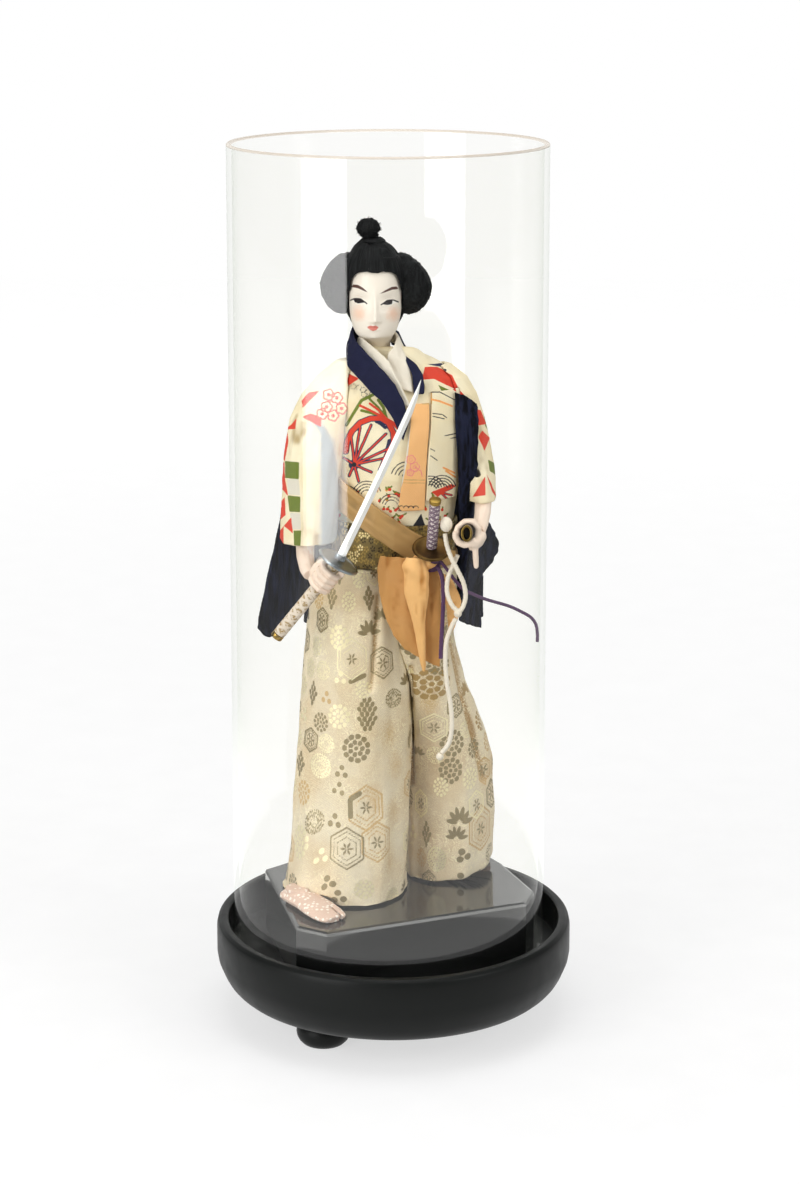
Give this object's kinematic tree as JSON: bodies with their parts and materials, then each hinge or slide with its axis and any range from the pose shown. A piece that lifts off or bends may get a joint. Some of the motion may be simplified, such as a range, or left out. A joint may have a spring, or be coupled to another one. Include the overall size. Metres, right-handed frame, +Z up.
{
  "type": "samurai doll in a glass cylinder",
  "caption": "Standing samurai doll with drawn sword on a black lacquered plinth, under an open clear glass cylinder on a turned black base.",
  "frame": {"origin": "centre of the bounding box's bottom: on the table, on the turned base's axis", "axes": "+Z up along the base's axis, the doll faces -Y, its left hand is on the +X side"},
  "size_m": [0.1986, 0.1986, 0.49],
  "materials": {
    "black_wood": "satin black paint",
    "clear_glass": "clear, ground lip",
    "black_lacquer": "gloss black lacquer on wood",
    "plain_wood": "bare softwood",
    "sock_cloth": "pale pink cloth with white dots",
    "ivory_brocade": "woven brocade with gold thread",
    "gold_brocade": "woven gold brocade",
    "stuffing": "packed straw and cotton",
    "printed_crepe": "printed silk crepe",
    "peach_crepe": "printed silk crepe",
    "tan_silk": "plain silk",
    "amber_crepe": "fine crepe",
    "white_cloth": "fine white silk",
    "navy_cloth": "plain navy silk",
    "navy_crepe": "ribbed navy crepe",
    "painted_face": "moulded composition with polished shell white",
    "painted_skin": "moulded composition, painted",
    "black_hair": "combed black silk thread",
    "bright_steel": "polished",
    "silver": "silvered",
    "brass": "gilt",
    "bronze": "dull bronze",
    "grip_wrap": "pale wrapped grip with gold flecks",
    "purple_grip_wrap": "wound purple thread",
    "scabbard_lacquer": "dark brown lacquer",
    "white_cord": "twisted silk cord",
    "purple_cord": "twisted silk cord"
  },
  "bodies": {
    "base": {"turned_base": "black_wood", "bun_foot_1": "black_wood", "bun_foot_2": "black_wood", "bun_foot_3": "black_wood"},
    "cylinder": {"glass_cylinder": "clear_glass"},
    "doll": {"plinth": "black_lacquer", "leg_post_right": "plain_wood", "leg_post_left": "plain_wood", "foot_right": "sock_cloth", "foot_left": "sock_cloth", "hakama_leg_right": "ivory_brocade", "hakama_leg_left": "ivory_brocade", "torso_core": "stuffing", "kimono_body": "printed_crepe", "kimono_left_front": "printed_crepe", "peach_lapel": "peach_crepe", "obi_brocade": "gold_brocade", "sash_band": "tan_silk", "sash_knot": "amber_crepe", "sash_tail_front": "amber_crepe", "sash_tail_back": "tan_silk", "sash_tail_side": "amber_crepe", "under_collar": "white_cloth", "collar_navy": "navy_cloth", "coat_back": "navy_crepe", "coat_lobe_right": "navy_crepe", "coat_lobe_left": "navy_crepe", "sleeve_right": "printed_crepe", "sleeve_left": "printed_crepe", "head": "painted_face", "neck_dowel": "plain_wood", "wig_crown": "black_hair", "wig_lobe_right": "black_hair", "wig_lobe_left": "black_hair", "wig_back_hair": "black_hair", "topknot": "black_hair", "topknot_tie": "black_hair", "forearm_right": "painted_skin", "forearm_left": "painted_skin", "hand_right": "painted_skin", "hand_left": "painted_skin", "long_scabbard": "scabbard_lacquer", "scabbard_mouth_ring": "brass", "short_scabbard": "scabbard_lacquer", "short_guard": "bronze", "short_grip": "purple_grip_wrap", "short_pommel": "brass", "white_cord_knot": "white_cord", "white_cord_slide": "white_cord", "white_cord_end_knot": "white_cord", "white_cord_loops": "white_cord", "white_cord_tail": "white_cord", "purple_cord_wrap": "purple_cord", "purple_cord_drop": "purple_cord", "purple_cord_long": "purple_cord"},
    "katana": {"katana_blade": "bright_steel", "katana_blade_collar": "silver", "katana_guard": "silver", "katana_grip": "grip_wrap", "katana_pommel": "brass"}
  },
  "joints": [
    {"name": "cylinder_lift", "type": "slide", "parent": "base", "child": "cylinder", "axis": [0, 0, 1], "range_m": [0, 0.46]},
    {"name": "doll_lift", "type": "slide", "parent": "base", "child": "doll", "axis": [0, 0, 1], "range_m": [0, 0.46]},
    {"name": "katana_draw", "type": "slide", "parent": "doll", "child": "katana", "axis": [0.5896, -0.2081, 0.7804], "range_m": [0, 0.055]}
  ]
}
